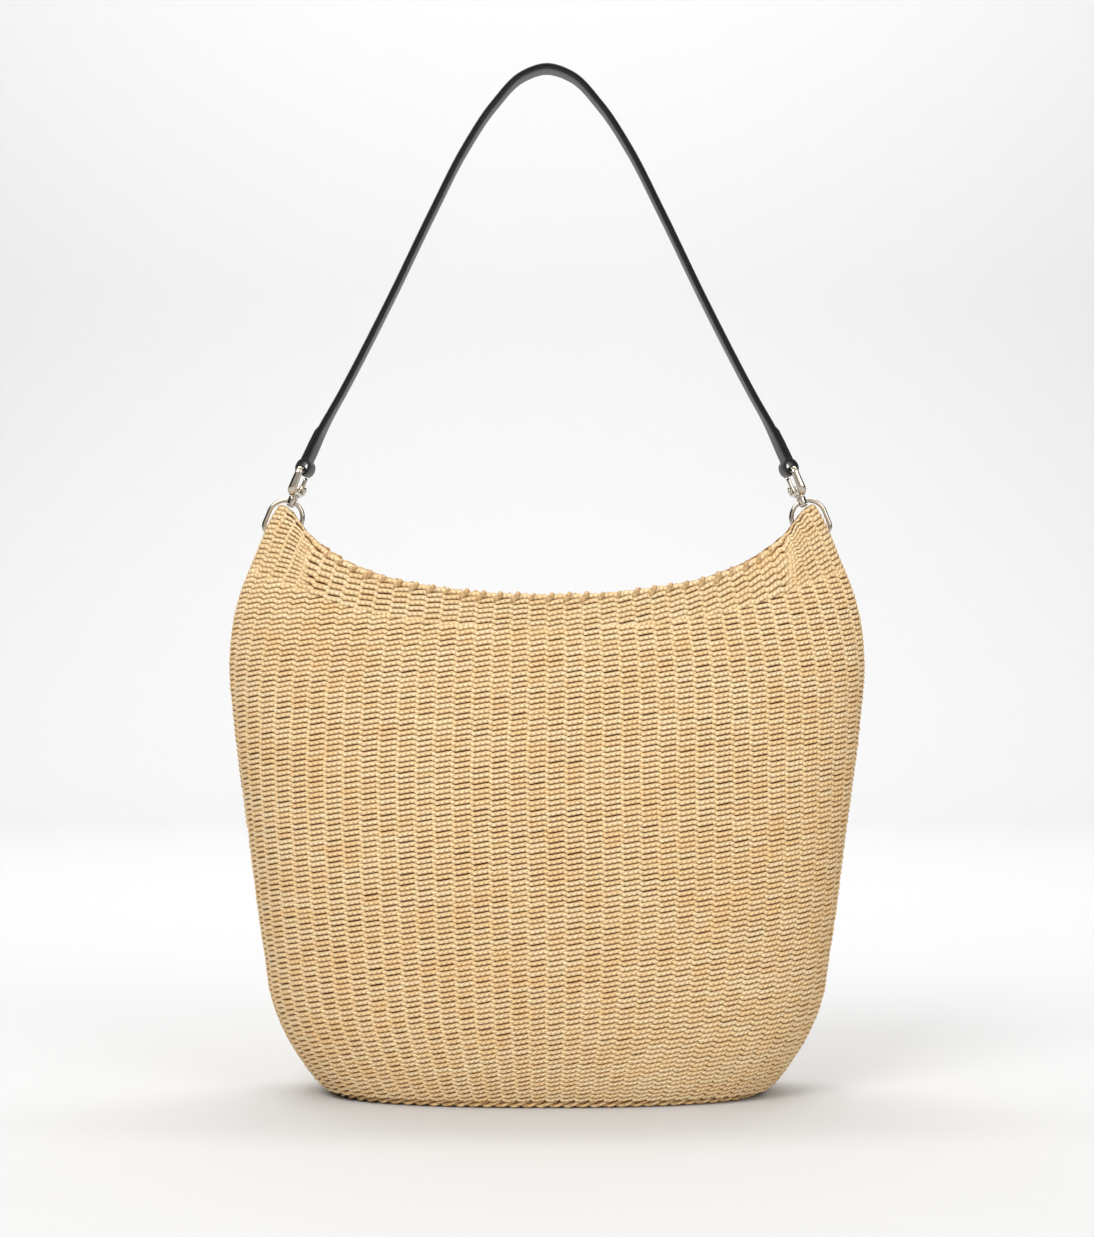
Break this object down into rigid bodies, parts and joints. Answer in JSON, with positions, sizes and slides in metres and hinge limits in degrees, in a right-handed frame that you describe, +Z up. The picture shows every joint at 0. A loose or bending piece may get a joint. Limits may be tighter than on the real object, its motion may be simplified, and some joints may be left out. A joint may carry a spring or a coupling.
{
  "type": "hobo bag",
  "caption": "Woven straw hobo bag with a curved open mouth, a flat oval base, and a leather shoulder strap held by swivel snap hooks on rings.",
  "frame": {"origin": "middle of the oval base, on the surface that the bag stands on", "axes": "+Z up, +X along the bag's width towards its right-hand end as seen from the front, and the front faces -Y"},
  "size_m": [0.4, 0.146, 0.6439],
  "materials": {
    "paper_cord": "matte twined two-ply paper cord in natural straw",
    "cotton": "plain-woven natural cotton",
    "black_leather": "smooth black leather with painted edges",
    "polished_nickel": "polished warm nickel plate",
    "spring_steel": "drawn steel wire"
  },
  "bodies": {
    "bag": {"woven_body": "paper_cord", "woven_base": "paper_cord", "base_edge_cord": "paper_cord", "rim_cord_front": "paper_cord", "rim_cord_back": "paper_cord", "corner_left": "paper_cord", "corner_right": "paper_cord", "lining": "cotton", "slip_pocket": "cotton"},
    "strap": {"strap_outer_layer": "black_leather", "strap_inner_layer": "black_leather"},
    "ring_left": {"ring_left": "polished_nickel"},
    "ring_right": {"ring_right": "polished_nickel"},
    "hook_left": {"hook_body_left": "polished_nickel", "swivel_rivet_left": "polished_nickel", "gate_pin_left": "spring_steel", "gate_spring_left": "spring_steel", "strap_loop_left": "black_leather"},
    "hook_right": {"hook_body_right": "polished_nickel", "swivel_rivet_right": "polished_nickel", "gate_pin_right": "spring_steel", "gate_spring_right": "spring_steel", "strap_loop_right": "black_leather"},
    "gate_left": {"gate_left": "polished_nickel"},
    "gate_right": {"gate_right": "polished_nickel"}
  },
  "joints": [
    {"name": "strap_swing", "type": "hinge", "parent": "bag", "child": "strap", "pos_m": [0, 0, 0.3483], "axis": [1, 0, 0], "range_deg": [-95, 95]},
    {"name": "ring_left_swing", "type": "hinge", "parent": "bag", "child": "ring_left", "pos_m": [-0.1692, 0, 0.3483], "axis": [1, 0, 0], "range_deg": [-95, 95]},
    {"name": "ring_right_swing", "type": "hinge", "parent": "bag", "child": "ring_right", "pos_m": [0.1692, 0, 0.3483], "axis": [1, 0, 0], "range_deg": [-95, 95]},
    {"name": "hook_left_swivel", "type": "hinge", "parent": "strap", "child": "hook_left", "pos_m": [-0.1602, 0, 0.3705], "axis": [0.3746, 0, 0.9272], "range_deg": [-45, 45]},
    {"name": "hook_right_swivel", "type": "hinge", "parent": "strap", "child": "hook_right", "pos_m": [0.1602, 0, 0.3705], "axis": [-0.3746, 0, 0.9272], "range_deg": [-45, 45]},
    {"name": "gate_left_press", "type": "hinge", "parent": "hook_left", "child": "gate_left", "pos_m": [-0.15537, 0.01149, 0.37815], "axis": [0.9182, -0.1392, -0.371], "range_deg": [0, 25], "stiffness_Nm_per_rad": 0.004, "springref_deg": -11.46},
    {"name": "gate_right_press", "type": "hinge", "parent": "hook_right", "child": "gate_right", "pos_m": [0.15537, 0.01149, 0.37815], "axis": [0.9182, 0.1392, 0.371], "range_deg": [0, 25], "stiffness_Nm_per_rad": 0.004, "springref_deg": -11.46}
  ],
  "couplings": [
    {"joint": "ring_left_swing", "follows": "strap_swing", "ratio": 1},
    {"joint": "ring_right_swing", "follows": "strap_swing", "ratio": 1}
  ]
}
